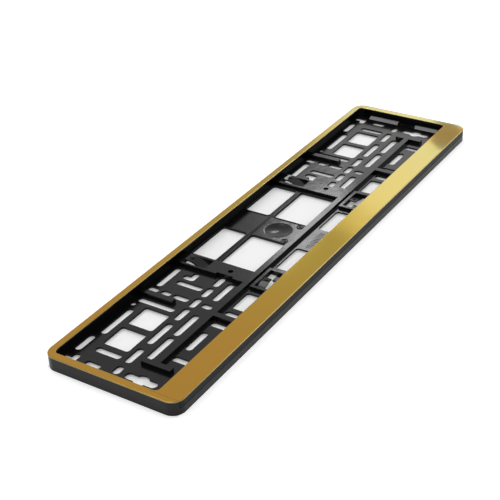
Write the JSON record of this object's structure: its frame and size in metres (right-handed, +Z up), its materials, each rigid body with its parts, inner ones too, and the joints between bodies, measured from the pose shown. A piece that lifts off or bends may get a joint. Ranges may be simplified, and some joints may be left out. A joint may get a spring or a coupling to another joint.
{
  "type": "number plate holder",
  "caption": "Shallow black plastic tray with a slotted back and gold-faced rim that holds a long vehicle number plate; a clip-on strip closes its lower edge.",
  "frame": {"origin": "bottom centre of the bounding box, with the holder lying on its back", "axes": "X along the length, Y from the clip-on strip towards the narrow top rail, Z up out of the front face"},
  "size_m": [0.53, 0.1294, 0.0128],
  "materials": {
    "black_plastic": "semi-gloss black moulded plastic",
    "lath_plastic": "semi-gloss black moulded plastic",
    "gold_foil": "satin gold metallised film on plastic"
  },
  "bodies": {
    "root": {"base_frame": "black_plastic", "lath": "lath_plastic", "rim_trim": "gold_foil", "lath_trim": "gold_foil"}
  },
  "joints": []
}
